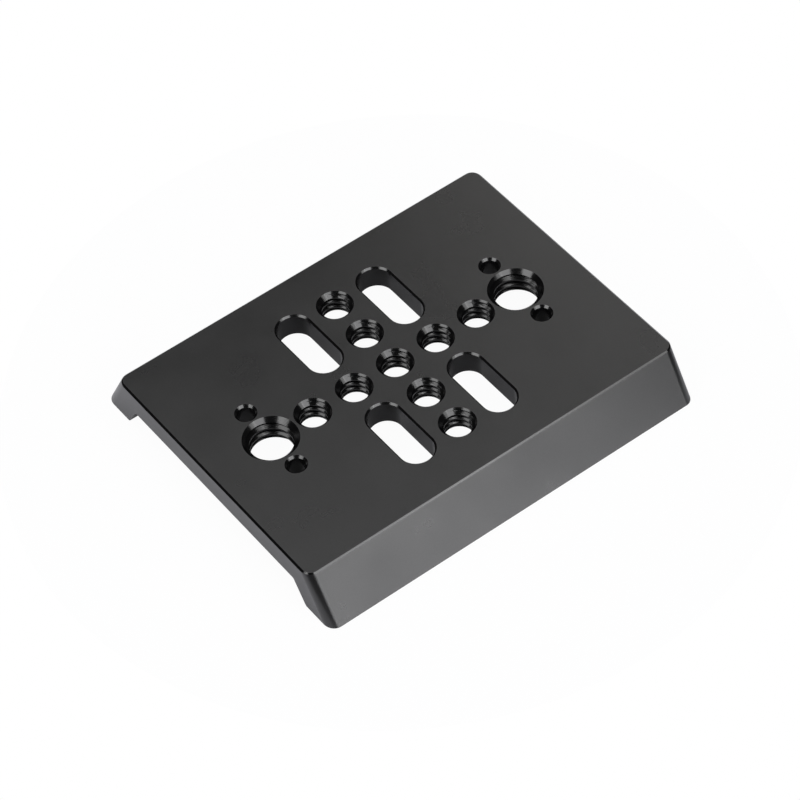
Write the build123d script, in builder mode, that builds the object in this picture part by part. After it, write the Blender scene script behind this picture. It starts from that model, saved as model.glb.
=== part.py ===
import os
from math import radians, tan

from build123d import *

# Tripod quick release plate, machined from one bar of aluminium.
# Frame: X along the plate, Y across it, Z up. The origin is centred under the feet.
# All lengths are in millimetres and all angles in degrees.

# Outer form
plate_length = 80.0
foot_width = 68.6
plate_height = 9.65
flank_angle = 30.0  # lean of the outer flanks from the vertical, widest at the feet
corner_radius = 2.0  # upright corners between the ends and the flanks
end_break = 0.35  # 45 degree edge break along the two ends of the top face
flank_break = 0.12  # how far the same break reaches in along the long edges

# Channel along the underside
web_thickness = 4.9
channel_mouth_width = 53.8
channel_flank_angle = 32.0
channel_root_radius = 0.5  # inner corners under the web
mouth_break = 0.25  # edge break where the channel meets the feet

# Grid that the holes and slots stand on
hole_pitch = 9.0
holes_each_way = 2  # quarter inch holes on each arm of the cross
end_hole_step = 3  # pitches from the middle to a three eighth inch hole

# Quarter inch holes, tapped through the web
quarter_bore = 5.1
quarter_rim = 6.85
quarter_under_rim = 6.6

# Three eighth inch holes, tapped through the web
three_eighth_bore = 7.94
three_eighth_rim = 10.25
three_eighth_under_rim = 8.8

# Locating holes, one on each side of a three eighth inch hole
pin_bore = 3.3
pin_rim = 4.1
pin_spacing = 15.1

# Slots across the plate
slot_width = 6.5
slot_travel = 9.0  # between the centres of a slot's two round ends
slot_break = 0.32
slot_under_break = 0.18

# Derived places
foot_half = foot_width / 2
flank_lean = tan(radians(flank_angle))
top_half = foot_half - plate_height * flank_lean
ceiling = plate_height - web_thickness
mouth_half = channel_mouth_width / 2
ceiling_half = mouth_half - ceiling * tan(radians(channel_flank_angle))
end_hole_x = end_hole_step * hole_pitch
slot_y = (holes_each_way - 0.5) * hole_pitch
steps = range(-holes_each_way, holes_each_way + 1)
cross = [(i * hole_pitch, 0) for i in steps] + [(0, j * hole_pitch) for j in steps if j != 0]
end_holes = [(side * end_hole_x, 0) for side in (-1, 1)]
pins = [(x, side * pin_spacing / 2) for x, _ in end_holes for side in (-1, 1)]
slots = [(side_x * hole_pitch, side_y * slot_y) for side_x in (-1, 1) for side_y in (-1, 1)]

top_plane = Plane.XY.offset(plate_height)
under_plane = Plane(origin=(0, 0, ceiling), x_dir=(1, 0, 0), z_dir=(0, 0, -1))
ceiling_plane = Plane.XY.offset(ceiling)
crown_plane = Plane(origin=(0, 0, plate_height), x_dir=(1, 0, 0), z_dir=(0, 0, -1))

with BuildPart() as plate:
    # Section of the bar: leaning flanks outside, a leaning channel below
    with BuildSketch(Plane.YZ.offset(-plate_length / 2)) as section:
        with BuildLine():
            Polyline(
                (-foot_half, 0),
                (-top_half, plate_height),
                (top_half, plate_height),
                (foot_half, 0),
                (mouth_half, 0),
                (ceiling_half, ceiling),
                (-ceiling_half, ceiling),
                (-mouth_half, 0),
                close=True,
            )
        make_face()
        roots = section.vertices().group_by(Axis.Y)[1]
        fillet(roots, channel_root_radius)
        lips = section.vertices().group_by(Axis.Y)[0].sort_by(Axis.X)[1:3]
        chamfer(lips, mouth_break)
    extrude(amount=plate_length)

    # Upright corners between the ends and the flanks
    across = plate.faces().sort_by(Axis.Y)
    front_corners = across[0].edges().filter_by(Axis.X, reverse=True)
    back_corners = across[-1].edges().filter_by(Axis.X, reverse=True)
    fillet(front_corners + back_corners, corner_radius)

    # 45 degree edge break round the top face
    with BuildSketch(crown_plane):
        RectangleRounded(
            plate_length - 2 * end_break,
            2 * (top_half - flank_break),
            corner_radius - end_break,
        )
    extrude(amount=plate_height, taper=-45, mode=Mode.INTERSECT)

    # Slots, with their edges broken above and below
    with BuildSketch(top_plane):
        with Locations(*slots):
            SlotCenterToCenter(slot_travel, slot_width, rotation=90)
    extrude(amount=-web_thickness, mode=Mode.SUBTRACT)
    with BuildSketch(crown_plane):
        with Locations(*slots):
            SlotCenterToCenter(slot_travel, slot_width + 2 * slot_break, rotation=90)
    extrude(amount=slot_break, taper=45, mode=Mode.SUBTRACT)
    with BuildSketch(ceiling_plane):
        with Locations(*slots):
            SlotCenterToCenter(slot_travel, slot_width + 2 * slot_under_break, rotation=90)
    extrude(amount=slot_under_break, taper=45, mode=Mode.SUBTRACT)

    # Tapped holes, countersunk above and below, and locating holes
    with Locations(top_plane):
        with Locations(*cross):
            CounterSinkHole(quarter_bore / 2, quarter_rim / 2, web_thickness, 90)
        with Locations(*end_holes):
            CounterSinkHole(three_eighth_bore / 2, three_eighth_rim / 2, web_thickness, 90)
        with Locations(*pins):
            CounterSinkHole(pin_bore / 2, pin_rim / 2, web_thickness, 90)
    with Locations(under_plane):
        with Locations(*cross):
            CounterSinkHole(quarter_bore / 2, quarter_under_rim / 2, web_thickness, 90)
        with Locations(*end_holes):
            CounterSinkHole(three_eighth_bore / 2, three_eighth_under_rim / 2, web_thickness, 90)

plate.part.label = "plate"

os.makedirs("parts", exist_ok=True)
export_step(plate.part, "parts/plate.step")
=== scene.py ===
"""Tripod quick release plate: threads, finishes and studio around its solid."""

import logging
from dataclasses import dataclass, field
from enum import Enum
from math import ceil, cos, hypot, pi, radians, sin, tan
from typing import Any, Callable, Iterable, Optional, Union

import bpy
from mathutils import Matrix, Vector


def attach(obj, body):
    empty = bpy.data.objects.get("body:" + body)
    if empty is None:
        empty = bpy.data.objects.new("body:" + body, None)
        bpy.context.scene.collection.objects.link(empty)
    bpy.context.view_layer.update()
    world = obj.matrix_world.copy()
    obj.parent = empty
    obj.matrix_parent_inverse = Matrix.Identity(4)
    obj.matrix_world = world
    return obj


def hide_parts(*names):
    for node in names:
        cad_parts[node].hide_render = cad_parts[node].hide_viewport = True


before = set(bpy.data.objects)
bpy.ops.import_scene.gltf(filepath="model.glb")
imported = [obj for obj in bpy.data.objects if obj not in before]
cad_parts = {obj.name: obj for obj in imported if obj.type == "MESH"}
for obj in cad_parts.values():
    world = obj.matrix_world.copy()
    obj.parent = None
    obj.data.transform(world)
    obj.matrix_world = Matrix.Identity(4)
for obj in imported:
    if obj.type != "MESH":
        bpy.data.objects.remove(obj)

MM = 0.001

# How near vertices lie that are one vertex, and how near a cut is to one
MERGE_GAP = 1e-6
BISECT_GAP = 1e-7

# How far past its rim a hole still claims the faces round it
RIM_MARGIN = 0.02 * MM

# A noise is about this on average. It is made of layers, given by how many finer
# ones there are and by the share of each in the one before.
NOISE_MIDDLE = 0.5
GRAIN_LAYERS = (2.0, 0.6)
CLOUD_LAYERS = (3.0, 0.55)

# The wave texture multiplies each place by this before it takes the sine
WAVE_FACTOR = 20.0

CUT_BLACK = (0.0022, 0.0022, 0.0024)
WHITE = (1.0, 1.0, 1.0, 1.0)
PLAIN_LIGHT = (1.0, 1.0, 1.0)
COOL_LIGHT = (0.985, 0.985, 1.0)
WARM_LIGHT = (1.0, 0.98, 0.95)

log = logging.getLogger("plate")
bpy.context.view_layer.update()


class Value:
    """A number in a material's nodes, used in plain arithmetic."""

    def __init__(self, nodes: "Nodes", socket: bpy.types.NodeSocket) -> None:
        """Wraps one output socket of these nodes."""
        self.nodes = nodes
        self.socket = socket

    def apply(self, operation: str, first: "Number", second: "Number") -> "Value":
        """Adds one Math node.

        Args:
            operation: the Math node's operation.
            first: its first value.
            second: its second value.

        Returns:
            The node's result.
        """
        node = self.nodes.add("ShaderNodeMath", {"operation": operation}, {0: first, 1: second})
        return Value(self.nodes, node.outputs[0])

    def __add__(self, other: "Number") -> "Value":
        """This value plus another."""
        return self.apply("ADD", self, other)

    def __radd__(self, other: "Number") -> "Value":
        """Another value plus this one."""
        return self.apply("ADD", other, self)

    def __sub__(self, other: "Number") -> "Value":
        """This value less another."""
        return self.apply("SUBTRACT", self, other)

    def __rsub__(self, other: "Number") -> "Value":
        """Another value less this one."""
        return self.apply("SUBTRACT", other, self)

    def __mul__(self, other: "Number") -> "Value":
        """This value times another."""
        return self.apply("MULTIPLY", self, other)

    def __rmul__(self, other: "Number") -> "Value":
        """Another value times this one."""
        return self.apply("MULTIPLY", other, self)


Number = Union[Value, float]


class Nodes:
    """The node tree of one material or of the world."""

    def __init__(self, tree: bpy.types.NodeTree) -> None:
        """Starts from an empty tree."""
        self.tree = tree
        tree.nodes.clear()

    def add(
        self,
        kind: str,
        settings: Optional[dict[str, Any]] = None,
        sockets: Optional[dict[Union[int, str], Any]] = None,
    ) -> bpy.types.Node:
        """Adds one node.

        Args:
            kind: the node's type.
            settings: its own settings, set first.
            sockets: what its input sockets hold or are linked to.

        Returns:
            The node.
        """
        node = self.tree.nodes.new(kind)
        for name, setting in (settings or {}).items():
            setattr(node, name, setting)
        for key, given in (sockets or {}).items():
            source = given.socket if isinstance(given, Value) else given
            if isinstance(source, bpy.types.NodeSocket):
                self.tree.links.new(source, node.inputs[key])
            else:
                node.inputs[key].default_value = source
        return node

    def value(self, node: bpy.types.Node, output: Union[int, str] = 0) -> Value:
        """One output of a node, ready for arithmetic."""
        return Value(self, node.outputs[output])


class Surface(Enum):
    """The differently finished surfaces of the plate, in slot order."""

    BLASTED = 0
    CUT = 1
    WALL = 2
    THREAD = 3
    SINK = 4


@dataclass(frozen=True)
class BlackAnodise:
    """Black dyed aluminium, from a blasted face to a bright cut one.

    The dye is darkest on a smooth cut face. A blasted face scatters more light
    and looks charcoal.

    Attributes:
        name: the material's name.
        colour: the dyed metal's colour.
        roughness: how dull its shine is.
        mottle: how far the grain and the clouds change the colour.
        grain_size: width of a grain.
        grain_height: height of a grain.
        mark_height: height of the cutter's marks, or 0 for none.
        refraction: refractive index of the clear oxide on top.
        mark_pitch: distance from one of the cutter's marks to the next.
        mark_wobble: how uneven the cutter's marks are.
        cloud_scale: how many broad clouds in the dye there are to a metre.
        cloud_share: how much the clouds count beside the grain.
        cloud_dulling: how far the clouds change the roughness.
    """

    name: str
    colour: tuple[float, float, float]
    roughness: float
    mottle: float
    grain_size: float
    grain_height: float
    mark_height: float = 0.0
    refraction: float = 1.65
    mark_pitch: float = 0.17 * MM
    mark_wobble: float = 0.6
    cloud_scale: float = 90.0
    cloud_share: float = 0.5
    cloud_dulling: float = 0.12

    def material(self) -> bpy.types.Material:
        """Makes the finish.

        Returns:
            A material on the piece's own Object coordinates.
        """
        made = bpy.data.materials.new(self.name)
        made.use_nodes = True
        nodes = Nodes(made.node_tree)
        place = nodes.add("ShaderNodeTexCoord").outputs["Object"]
        grain = self.noise(nodes, place, 1.0 / self.grain_size, GRAIN_LAYERS)
        cloud = self.noise(nodes, place, self.cloud_scale, CLOUD_LAYERS)
        middle = NOISE_MIDDLE * (1.0 + self.cloud_share)
        shade = 1.0 + self.mottle * (grain + self.cloud_share * cloud - middle)
        colour = nodes.add(
            "ShaderNodeVectorMath",
            {"operation": "SCALE"},
            {0: self.colour, "Scale": shade},
        )
        bump = nodes.add(
            "ShaderNodeBump",
            {},
            {"Strength": 1.0, "Distance": self.grain_height, "Height": grain},
        )
        if self.mark_height > 0.0:
            bump = nodes.add(
                "ShaderNodeBump",
                {},
                {
                    "Strength": 1.0,
                    "Distance": self.mark_height,
                    "Height": self.tool_marks(nodes, place),
                    "Normal": bump.outputs[0],
                },
            )
        shader = nodes.add(
            "ShaderNodeBsdfPrincipled",
            {},
            {
                "Base Color": colour.outputs[0],
                "Roughness": self.roughness + self.cloud_dulling * (cloud - NOISE_MIDDLE),
                "Metallic": 0.0,
                "IOR": self.refraction,
                "Normal": bump.outputs[0],
            },
        )
        nodes.add("ShaderNodeOutputMaterial", {}, {"Surface": shader.outputs[0]})
        return made

    @staticmethod
    def noise(
        nodes: Nodes,
        place: bpy.types.NodeSocket,
        scale: float,
        layers: tuple[float, float],
    ) -> Value:
        """Makes a noise that runs through the metal.

        Args:
            nodes: the material's nodes.
            place: the piece's Object coordinates.
            scale: how many patches there are to a metre.
            layers: how many finer layers there are, and the share of each.

        Returns:
            The noise.
        """
        detail, share = layers
        made = nodes.add(
            "ShaderNodeTexNoise",
            {"noise_dimensions": "3D"},
            {"Vector": place, "Scale": scale, "Detail": detail, "Roughness": share},
        )
        return nodes.value(made)

    def tool_marks(self, nodes: Nodes, place: bpy.types.NodeSocket) -> Value:
        """Makes the level rings that a turning cutter leaves.

        Args:
            nodes: the material's nodes.
            place: the piece's Object coordinates.

        Returns:
            The marks' height, from 0 to 1.
        """
        wave = nodes.add(
            "ShaderNodeTexWave",
            {"wave_type": "BANDS", "bands_direction": "Z", "wave_profile": "SIN"},
            {
                "Vector": place,
                "Scale": 2.0 * pi / (WAVE_FACTOR * self.mark_pitch),
                "Distortion": self.mark_wobble,
                "Detail": 1.0,
            },
        )
        return nodes.value(wave, "Fac")


FINISHES: dict[Surface, BlackAnodise] = {
    Surface.BLASTED: BlackAnodise(
        name="black_anodise_blasted",
        colour=(0.0117, 0.0117, 0.012),
        roughness=0.29,
        mottle=1.2,
        grain_size=0.22 * MM,
        grain_height=0.010 * MM,
    ),
    Surface.CUT: BlackAnodise(
        name="black_anodise_cut",
        colour=CUT_BLACK,
        roughness=0.16,
        mottle=0.3,
        grain_size=0.35 * MM,
        grain_height=0.002 * MM,
        mark_height=0.003 * MM,
        refraction=1.82,
    ),
    Surface.WALL: BlackAnodise(
        name="black_anodise_milled",
        colour=(0.003, 0.003, 0.0033),
        roughness=0.22,
        mottle=0.3,
        grain_size=0.30 * MM,
        grain_height=0.003 * MM,
        refraction=1.46,
    ),
    Surface.THREAD: BlackAnodise(
        name="black_anodise_thread",
        colour=CUT_BLACK,
        roughness=0.15,
        mottle=0.3,
        grain_size=0.20 * MM,
        grain_height=0.002 * MM,
        mark_height=0.002 * MM,
        refraction=1.62,
    ),
    Surface.SINK: BlackAnodise(
        name="black_anodise_countersunk",
        colour=CUT_BLACK,
        roughness=0.16,
        mottle=0.3,
        grain_size=0.35 * MM,
        grain_height=0.002 * MM,
        mark_height=0.003 * MM,
        refraction=1.75,
    ),
}


class Bench:
    """Selecting and changing mode, as it is done by hand."""

    @staticmethod
    def clear() -> None:
        """Leaves edit mode and deselects every object."""
        if bpy.context.mode != "OBJECT":
            bpy.ops.object.mode_set(mode="OBJECT")
        bpy.ops.object.select_all(action="DESELECT")

    @staticmethod
    def take(*pieces: bpy.types.Object) -> None:
        """Selects these objects alone and makes the first one active.

        Args:
            *pieces: the objects.
        """
        Bench.clear()
        for piece in pieces:
            piece.select_set(True)
        bpy.context.view_layer.objects.active = pieces[0]

    @staticmethod
    def edit(piece: bpy.types.Object, kind: str = "VERT") -> None:
        """Opens one object in edit mode with all of it selected.

        Args:
            piece: the object.
            kind: VERT, EDGE or FACE, for what is selected.
        """
        Bench.take(piece)
        bpy.ops.object.mode_set(mode="EDIT")
        bpy.ops.mesh.select_mode(type=kind)
        bpy.ops.mesh.select_all(action="SELECT")

    @staticmethod
    def edit_faces(
        piece: bpy.types.Object, wanted: Callable[[bpy.types.MeshPolygon], bool]
    ) -> None:
        """Opens one object in edit mode with some of its faces selected.

        Args:
            piece: the object.
            wanted: says whether a face is to be selected.
        """
        Bench.edit(piece, "FACE")
        bpy.ops.mesh.select_all(action="DESELECT")
        bpy.ops.object.mode_set(mode="OBJECT")
        for face in piece.data.polygons:
            face.select = wanted(face)
        bpy.ops.object.mode_set(mode="EDIT")

    @staticmethod
    def apply(piece: bpy.types.Object, kind: str, **settings: Any) -> None:
        """Puts one modifier on an object and applies it.

        Args:
            piece: the object.
            kind: the modifier's type.
            **settings: the modifier's settings.
        """
        Bench.take(piece)
        modifier = piece.modifiers.new(kind.lower(), kind)
        for name, setting in settings.items():
            setattr(modifier, name, setting)
        bpy.ops.object.modifier_apply(modifier=modifier.name)


@dataclass(frozen=True)
class ScrewThread:
    """A sixty degree screw thread cut into a drilled bore.

    Attributes:
        pitch: height of one turn.
        bore_radius: radius of the drilled bore.
        groove_radius: radius at the bottom of the groove.
        entry_depth: how far under the top face the groove passes the side +X.
        root_share: width of the groove's flat bottom, as a share of the pitch.
        half_angle: lean of each side of the groove, in degrees.
        steps: faces in one turn.
        core_gap: how far the tap's core stays clear of the bore.
        turns_below: whole turns that the tap starts under its lower end.
        turns_spare: turns that it has beyond its height.
    """

    pitch: float
    bore_radius: float
    groove_radius: float
    entry_depth: float
    root_share: float
    half_angle: float = 30.0
    steps: int = 48
    core_gap: float = 0.1 * MM
    turns_below: int = 1
    turns_spare: int = 3

    def tap(self, low: float, high: float, entry: float) -> bpy.types.Object:
        """Models the tap that cuts the thread, standing on the origin's axis.

        Args:
            low: height of its lower end.
            high: height of its upper end.
            entry: a height at which its groove passes the side towards +X.

        Returns:
            A closed mesh.
        """
        core = self.bore_radius - self.core_gap
        depth = self.groove_radius - core
        tip = self.pitch * self.root_share
        run = depth * tan(radians(self.half_angle))
        land = (self.pitch - tip - 2.0 * run) / 2.0
        path = [(0.0, land), (depth, run), (0.0, tip), (-depth, run), (0.0, land)]
        turns_down = ceil((entry - low) / self.pitch) + self.turns_below
        start = Vector((core, 0.0, entry - (turns_down + 0.5) * self.pitch))
        Bench.clear()
        bpy.ops.mesh.primitive_plane_add(size=tip, location=(0.0, 0.0, 0.0))
        tap = bpy.context.active_object
        Bench.edit(tap)
        bpy.ops.mesh.merge(type="CENTER")
        bpy.ops.transform.translate(value=start)
        for out, up in path:
            bpy.ops.mesh.extrude_vertices_move(TRANSFORM_OT_translate={"value": (out, 0.0, up)})
        Bench.clear()
        Bench.apply(
            tap,
            "SCREW",
            axis="Z",
            angle=2.0 * pi,
            screw_offset=self.pitch,
            iterations=ceil((high - low) / self.pitch) + self.turns_spare,
            steps=self.steps,
            render_steps=self.steps,
        )
        Bench.edit(tap)
        bpy.ops.mesh.remove_doubles(threshold=MERGE_GAP)
        for height, side in ((low, -1.0), (high, 1.0)):
            bpy.ops.mesh.select_all(action="SELECT")
            bpy.ops.mesh.bisect(
                plane_co=(0.0, 0.0, height),
                plane_no=(0.0, 0.0, side),
                use_fill=True,
                clear_outer=True,
                threshold=BISECT_GAP,
            )
        bpy.ops.mesh.select_all(action="SELECT")
        bpy.ops.mesh.normals_make_consistent(inside=False)
        Bench.clear()
        return tap


@dataclass(frozen=True)
class Hole:
    """One round hole, by the place of its axis and the radius of its upper rim.

    A tapped hole also has its thread's start, in degrees round the axis.
    """

    x: float
    y: float
    rim: float
    start: float = 0.0

    def holds(self, point: Vector) -> bool:
        """Says whether a point of the mesh belongs to this hole."""
        return hypot(point.x - self.x, point.y - self.y) < self.rim + RIM_MARGIN


@dataclass(frozen=True)
class Slot:
    """One slot across the plate, by its middle and the half width of its rim."""

    x: float
    y: float
    rim: float
    half_travel: float

    def holds(self, point: Vector) -> bool:
        """Says whether a point of the mesh belongs to this slot."""
        along = max(abs(point.y - self.y) - self.half_travel, 0.0)
        return hypot(point.x - self.x, along) < self.rim + RIM_MARGIN


@dataclass
class Plate:
    """The plate's one body, with its threads cut and its surfaces finished.

    Attributes:
        half_length: half the plate's length.
        half_top: half the width of its top face.
        top: height of its top face.
        ceiling: height of the channel's roof.
        edge_zone: how far in from the top face's edges their break is looked for.
        edge_depth: how far under the top face that break is looked for.
        pitch: step of the grid that the holes stand on.
        quarter_rim: upper radius of a quarter inch hole.
        three_eighth_rim: upper radius of a three eighth inch hole.
        pin_rim: upper radius of a locating hole.
        pin_offset: distance of a locating hole from the plate's long axis.
        slot_rim: half the upper width of a slot.
        end_step: steps from the middle to the holes near the ends.
        slot_step: steps from the long axis to a slot's middle.
        tap_reach: how far a tap stands out of the plate above and below.
        smooth_angle: angle up to which neighbouring faces are smoothed, in degrees.
        flat_weight: how strongly large faces keep their own shading.
        sliver: length under which an edge that the taps have left is closed.
        upright_lift: a face whose normal rises less than this is upright.
        level_lift: a face whose normal rises this much or more is level.
        edge_lift: a face of the edge's break rises more than this.
        quarter: thread of the quarter inch holes.
        three_eighth: thread of the three eighth inch holes.
        quarter_grid: steps to each quarter inch hole.
        three_eighth_starts: side and thread start of each three eighth inch hole.
    """

    half_length: float = 40.0 * MM
    half_top: float = 28.73 * MM
    top: float = 9.65 * MM
    ceiling: float = 4.75 * MM
    edge_zone: float = 1.2 * MM
    edge_depth: float = 0.46 * MM
    pitch: float = 9.0 * MM
    quarter_rim: float = 3.425 * MM
    three_eighth_rim: float = 5.125 * MM
    pin_rim: float = 2.05 * MM
    pin_offset: float = 7.55 * MM
    slot_rim: float = 3.57 * MM
    end_step: int = 3
    slot_step: float = 1.5
    tap_reach: float = 0.9 * MM
    smooth_angle: float = 32.0
    flat_weight: int = 80
    sliver: float = 0.0002 * MM
    upright_lift: float = 0.3
    level_lift: float = 0.95
    edge_lift: float = 0.6
    quarter: ScrewThread = ScrewThread(
        pitch=1.27 * MM,
        bore_radius=2.55 * MM,
        groove_radius=3.12 * MM,
        entry_depth=0.455 * MM,
        root_share=0.20,
    )
    three_eighth: ScrewThread = ScrewThread(
        pitch=1.5875 * MM,
        bore_radius=3.97 * MM,
        groove_radius=4.86 * MM,
        entry_depth=0.355 * MM,
        root_share=0.125,
    )
    quarter_grid: tuple[tuple[int, int], ...] = (
        (0, 0),
        (-2, 0),
        (-1, 0),
        (1, 0),
        (2, 0),
        (0, -2),
        (0, -1),
        (0, 1),
        (0, 2),
    )
    three_eighth_starts: tuple[tuple[int, float], ...] = ((-1, 100.0), (1, 140.0))
    quarter_holes: list[Hole] = field(default_factory=list)
    three_eighth_holes: list[Hole] = field(default_factory=list)
    pins: list[Hole] = field(default_factory=list)
    slots: list[Slot] = field(default_factory=list)

    def __post_init__(self) -> None:
        """Lays out the holes on the plate's even grid."""
        step = self.pitch
        end = step * self.end_step
        corners = [(s, t) for s in (-1, 1) for t in (-1, 1)]
        self.quarter_holes = [
            Hole(step * i, step * j, self.quarter_rim) for i, j in self.quarter_grid
        ]
        self.three_eighth_holes = [
            Hole(end * s, 0.0, self.three_eighth_rim, start)
            for s, start in self.three_eighth_starts
        ]
        self.pins = [Hole(end * s, self.pin_offset * t, self.pin_rim) for s, t in corners]
        self.slots = [
            Slot(step * s, step * self.slot_step * t, self.slot_rim, step / 2.0)
            for s, t in corners
        ]

    def build(self) -> bpy.types.Object:
        """Makes the finished body.

        Returns:
            The piece that stands for the node plate.
        """
        piece = self.copy_solid()
        self.cut_threads(piece)
        self.finish_surfaces(piece)
        self.smooth(piece)
        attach(piece, "root")
        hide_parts("plate")
        return piece

    def copy_solid(self) -> bpy.types.Object:
        """Copies the solid's mesh and joins its loose triangles.

        Returns:
            The copy, closed.
        """
        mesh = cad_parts["plate"].data.copy()
        mesh.materials.clear()
        piece = bpy.data.objects.new("plate_body", mesh)
        bpy.context.scene.collection.objects.link(piece)
        for surface in Surface:
            mesh.materials.append(FINISHES[surface].material())
        Bench.take(piece)
        bpy.ops.mesh.customdata_custom_splitnormals_clear()
        Bench.edit(piece)
        bpy.ops.mesh.remove_doubles(threshold=MERGE_GAP)
        Bench.clear()
        return piece

    def taps(self) -> bpy.types.Object:
        """Sets one tap in each tapped hole.

        Returns:
            All the taps as one mesh.
        """
        low = self.ceiling - self.tap_reach
        high = self.top + self.tap_reach
        made = []
        for thread, holes in (
            (self.quarter, self.quarter_holes),
            (self.three_eighth, self.three_eighth_holes),
        ):
            first = thread.tap(low, high, self.top - thread.entry_depth)
            for hole in holes:
                Bench.take(first)
                bpy.ops.object.duplicate(linked=False)
                tap = bpy.context.active_object
                Bench.edit(tap)
                bpy.ops.transform.rotate(
                    value=radians(hole.start), orient_axis="Z", center_override=(0.0, 0.0, 0.0)
                )
                bpy.ops.transform.translate(value=(hole.x, hole.y, 0.0))
                Bench.clear()
                made.append(tap)
            bpy.data.objects.remove(first)
        Bench.take(*made)
        bpy.ops.object.join()
        return made[0]

    def cut_threads(self, piece: bpy.types.Object) -> None:
        """Cuts the threads into the drilled bores and closes slivers.

        Args:
            piece: the plate's body.
        """
        taps = self.taps()
        taps.data.materials.clear()
        taps.data.materials.append(piece.data.materials[Surface.THREAD.value])
        Bench.apply(
            piece,
            "BOOLEAN",
            operation="DIFFERENCE",
            solver="EXACT",
            material_mode="TRANSFER",
            object=taps,
        )
        bpy.data.objects.remove(taps)
        Bench.edit(piece)
        bpy.ops.mesh.remove_doubles(threshold=self.sliver)
        bpy.ops.mesh.dissolve_degenerate(threshold=self.sliver)
        Bench.clear()

    def surface_at(self, face: bpy.types.MeshPolygon) -> Surface:
        """Says which surface of the plate a face belongs to.

        Args:
            face: a face that the taps have left.

        Returns:
            The surface.
        """
        point, lift = face.center, abs(face.normal.z)
        upright = lift < self.upright_lift
        sloping = self.upright_lift <= lift < self.level_lift
        if any(hole.holds(point) for hole in self.quarter_holes + self.three_eighth_holes):
            if upright:
                return Surface.THREAD
            if sloping:
                return Surface.SINK
        if any(opening.holds(point) for opening in self.pins + self.slots):
            if upright:
                return Surface.WALL
            if sloping:
                return Surface.CUT
        on_edge = point.z > self.top - self.edge_depth and (
            abs(point.x) > self.half_length - self.edge_zone
            or abs(point.y) > self.half_top - self.edge_zone
        )
        if on_edge and sloping and lift > self.edge_lift:
            return Surface.CUT
        return Surface.BLASTED

    def finish_surfaces(self, piece: bpy.types.Object) -> None:
        """Gives each face its finish and marks the edges between finishes.

        Args:
            piece: the plate's body.
        """
        for face in piece.data.polygons:
            if face.material_index != Surface.THREAD.value:
                face.material_index = self.surface_at(face).value
        for surface in Surface:
            Bench.edit_faces(piece, lambda face: face.material_index == surface.value)
            bpy.ops.mesh.region_to_loop()
            bpy.ops.mesh.mark_sharp()
        Bench.clear()

    def smooth(self, piece: bpy.types.Object) -> None:
        """Smooths the rounded surfaces and keeps the flat ones flat.

        Args:
            piece: the plate's body.
        """
        Bench.take(piece)
        bpy.ops.object.shade_smooth_by_angle(
            angle=radians(self.smooth_angle), keep_sharp_edges=True
        )
        Bench.apply(
            piece, "WEIGHTED_NORMAL", mode="FACE_AREA", weight=self.flat_weight, keep_sharp=True
        )


@dataclass(frozen=True)
class Softbox:
    """One soft studio lamp, placed by how it stands as seen from the plate.

    Attributes:
        name: the lamp's name.
        bearing: angle round from +X, in degrees.
        height: angle up from the floor, in degrees.
        distance: how far it stands from the origin.
        width: width of its face.
        tall: height of its face.
        level: brightness of its face.
        tint: colour of its light.
        upright: whether its face stands upright, and isn't turned to the plate.
    """

    name: str
    bearing: float
    height: float
    distance: float
    width: float
    tall: float
    level: float
    tint: tuple[float, float, float] = PLAIN_LIGHT
    upright: bool = False

    def stand(self) -> bpy.types.Object:
        """Stands the lamp up, facing the plate's axis.

        Returns:
            The lamp.
        """
        turn, rise = radians(self.bearing), radians(self.height)
        lean = 0.0 if self.upright else self.height
        way = Vector((cos(turn) * cos(rise), sin(turn) * cos(rise), sin(rise)))
        Bench.clear()
        bpy.ops.object.light_add(
            type="AREA",
            location=way * self.distance,
            rotation=(radians(90.0 - lean), 0.0, turn + radians(90.0)),
        )
        lamp = bpy.context.active_object
        lamp.name = self.name
        lamp.visible_camera = False
        lamp.data.shape = "RECTANGLE"
        lamp.data.size = self.width
        lamp.data.size_y = self.tall
        lamp.data.color = self.tint
        lamp.data.energy = self.level * pi * self.width * self.tall
        return lamp


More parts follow.
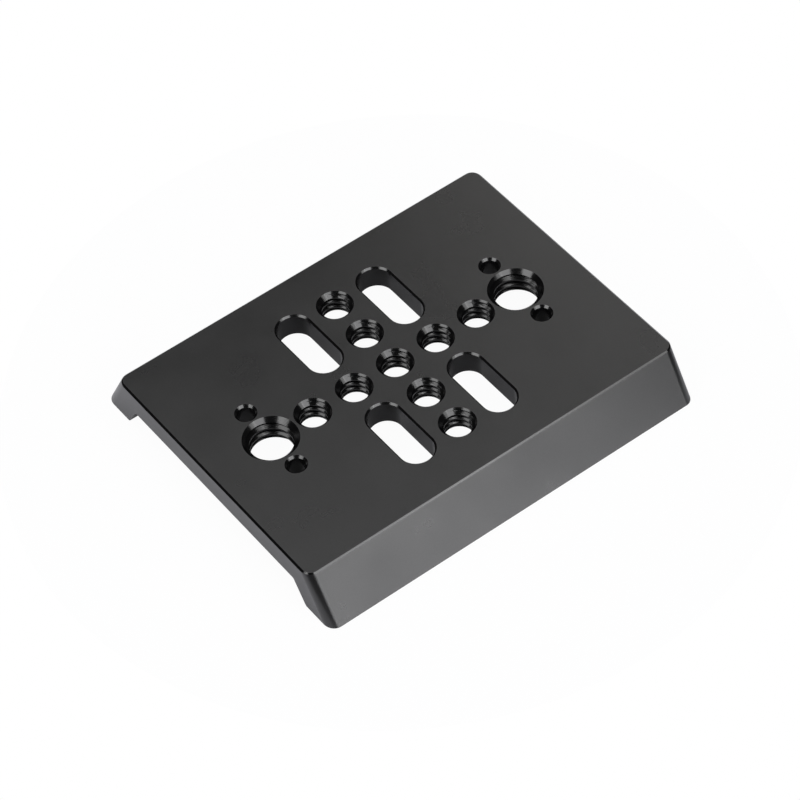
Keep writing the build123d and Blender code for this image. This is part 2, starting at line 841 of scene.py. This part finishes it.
@dataclass
class Studio:
    """The pale floor, the soft lamps, the surroundings and the camera.

    Attributes:
        floor_radius: radius of the round floor.
        floor_corners: corners of its outline.
        floor_gap: how far it lies under the plate.
        floor_colour: its colour in the lamps' light.
        floor_white: how white it is to the camera, where 1 hides the shadow.
        floor_mirrored: how white it is in the plate's reflections.
        surroundings: brightness of the surroundings on the plate.
        camera_place: where the camera stands.
        camera_turn: its turn about each axis, in degrees.
        camera_lens: its focal length, in millimetres.
        camera_sensor: its sensor's width, in millimetres.
        camera_near: where its view begins.
        lamps: the lamps.
    """

    floor_radius: float = 0.072
    floor_corners: int = 160
    floor_gap: float = 0.03 * MM
    floor_colour: tuple[float, float, float, float] = (0.92, 0.92, 0.97, 1.0)
    floor_white: float = 0.96
    floor_mirrored: float = 0.1
    surroundings: float = 0.02
    camera_place: tuple[float, float, float] = (-0.2094917, -0.3271859, 0.4483397)
    camera_turn: tuple[float, float, float] = (40.7369, 3.7520, -37.0037)
    camera_lens: float = 149.7571
    camera_sensor: float = 36.0
    camera_near: float = 0.01
    lamps: tuple[Softbox, ...] = (
        Softbox(
            name="lamp_front",
            bearing=275.0,
            height=55.8,
            distance=0.891,
            width=0.384,
            tall=0.986,
            level=2.76,
            tint=COOL_LIGHT,
            upright=True,
        ),
        Softbox(
            name="lamp_low",
            bearing=275.0,
            height=7.6,
            distance=0.505,
            width=0.384,
            tall=0.134,
            level=4.45,
            tint=COOL_LIGHT,
            upright=True,
        ),
        Softbox(
            name="lamp_edge",
            bearing=302.5,
            height=45.0,
            distance=0.70,
            width=0.21,
            tall=0.62,
            level=1.76,
        ),
        Softbox(
            name="lamp_left",
            bearing=181.0,
            height=47.0,
            distance=0.70,
            width=0.40,
            tall=0.50,
            level=2.71,
        ),
        Softbox(
            name="panel_over",
            bearing=63.0,
            height=66.0,
            distance=0.70,
            width=0.90,
            tall=0.36,
            level=0.85,
        ),
        Softbox(
            name="lamp_back",
            bearing=113.0,
            height=63.0,
            distance=0.70,
            width=0.36,
            tall=0.36,
            level=1.9,
        ),
        Softbox(
            name="panel_right",
            bearing=40.0,
            height=36.0,
            distance=0.55,
            width=0.24,
            tall=0.18,
            level=1.4,
            tint=WARM_LIGHT,
        ),
    )

    def build(self) -> None:
        """Sets up everything round the plate."""
        self.lay_floor()
        for lamp in self.lamps:
            lamp.stand()
        self.set_surroundings()
        self.stand_camera()
        bpy.context.scene.view_settings.view_transform = "Standard"

    def lay_floor(self) -> None:
        """Lays the floor, which looks white and keeps a faint shadow."""
        Bench.clear()
        bpy.ops.mesh.primitive_circle_add(
            vertices=self.floor_corners,
            radius=self.floor_radius,
            fill_type="NGON",
            location=(0.0, 0.0, -self.floor_gap),
        )
        floor = bpy.context.active_object
        floor.name = "floor"
        made = bpy.data.materials.new("floor_white")
        made.use_nodes = True
        nodes = Nodes(made.node_tree)
        path = nodes.add("ShaderNodeLightPath")
        clear = nodes.value(path, "Is Camera Ray") + nodes.value(path, "Is Transmission Ray")
        mirrored = nodes.value(path, "Is Glossy Ray")
        lit = nodes.add("ShaderNodeBsdfDiffuse", {}, {"Color": self.floor_colour})
        white = nodes.add("ShaderNodeEmission", {}, {"Strength": 1.0})
        both = nodes.add(
            "ShaderNodeMixShader",
            {},
            {
                0: clear * self.floor_white + mirrored * self.floor_mirrored,
                1: lit.outputs[0],
                2: white.outputs[0],
            },
        )
        nodes.add("ShaderNodeOutputMaterial", {}, {"Surface": both.outputs[0]})
        floor.data.materials.append(made)

    def set_surroundings(self) -> None:
        """Makes the surroundings white to the camera and dim to the plate."""
        world = bpy.data.worlds.new("studio")
        bpy.context.scene.world = world
        world.use_nodes = True
        nodes = Nodes(world.node_tree)
        path = nodes.add("ShaderNodeLightPath")
        dim, white = (
            nodes.add("ShaderNodeBackground", {}, {"Color": WHITE, "Strength": strength})
            for strength in (self.surroundings, 1.0)
        )
        both = nodes.add(
            "ShaderNodeMixShader",
            {},
            {0: path.outputs["Is Camera Ray"], 1: dim.outputs[0], 2: white.outputs[0]},
        )
        nodes.add("ShaderNodeOutputWorld", {}, {"Surface": both.outputs[0]})

    def stand_camera(self) -> None:
        """Stands the camera at the photograph's viewing angle."""
        Bench.clear()
        bpy.ops.object.camera_add(
            location=self.camera_place,
            rotation=tuple(radians(angle) for angle in self.camera_turn),
        )
        camera = bpy.context.active_object
        camera.data.sensor_fit = "HORIZONTAL"
        camera.data.sensor_width = self.camera_sensor
        camera.data.lens = self.camera_lens
        camera.data.clip_start = self.camera_near
        bpy.context.scene.camera = camera


def main() -> None:
    """Builds the plate and its studio."""
    logging.basicConfig(level=logging.INFO, format="%(message)s")
    piece = Plate().build()
    log.info("%s: %d faces", piece.name, len(piece.data.polygons))
    Studio().build()
    log.info("studio: floor, lamps and camera")


if __name__ == "__main__":
    main()
